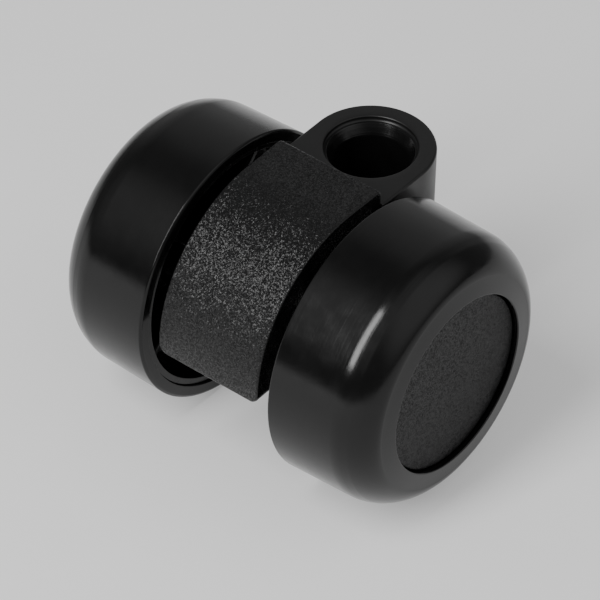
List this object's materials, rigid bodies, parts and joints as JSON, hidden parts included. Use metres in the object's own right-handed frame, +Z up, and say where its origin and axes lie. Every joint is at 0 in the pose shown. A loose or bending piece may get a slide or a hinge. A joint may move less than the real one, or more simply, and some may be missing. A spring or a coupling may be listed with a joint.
{
  "type": "twin-wheel chair caster",
  "caption": "Hooded twin-wheel caster for an office chair: hollow rounded wheels on a common axle, grained hood, and an offset boss with an open stepped stem socket.",
  "frame": {"origin": "centre of the stem socket's mouth, level with the flat deck", "axes": "+Z up the swivel axis out of the socket, +X ahead of the wheels away from the hood, +Y along the axle to the left wheel"},
  "size_m": [0.0553, 0.0678, 0.05],
  "materials": {
    "body_plastic": "satin moulded",
    "hood_plastic": "fine spark-eroded grain",
    "bush_plastic": "polished bore with fine rings",
    "tread_plastic": "high gloss with faint turning lines",
    "core_plastic": "semi gloss moulded",
    "cap_plastic": "fine grain",
    "bearing_plastic": "natural acetal",
    "axle_steel": "ground",
    "washer_steel": "zinc plated",
    "spring_steel": "tempered"
  },
  "bodies": {
    "caster_body": {"housing": "body_plastic", "hood": "hood_plastic", "stem_bush": "bush_plastic", "stem_retaining_ring": "spring_steel", "axle": "axle_steel", "left_inner_washer": "washer_steel", "left_outer_washer": "washer_steel", "left_push_nut": "spring_steel", "right_inner_washer": "washer_steel", "right_outer_washer": "washer_steel", "right_push_nut": "spring_steel"},
    "left_wheel": {"left_tread": "tread_plastic", "left_wheel_core": "core_plastic", "left_hub_bush": "bearing_plastic", "left_hub_cap": "cap_plastic"},
    "right_wheel": {"right_tread": "tread_plastic", "right_wheel_core": "core_plastic", "right_hub_bush": "bearing_plastic", "right_hub_cap": "cap_plastic"}
  },
  "joints": [
    {"name": "left_wheel_spin", "type": "hinge", "parent": "caster_body", "child": "left_wheel", "pos_m": [-0.0192, 0.0206, -0.0208], "axis": [0, 1, 0], "continuous": true},
    {"name": "right_wheel_spin", "type": "hinge", "parent": "caster_body", "child": "right_wheel", "pos_m": [-0.0192, -0.0206, -0.0208], "axis": [0, 1, 0], "continuous": true}
  ]
}
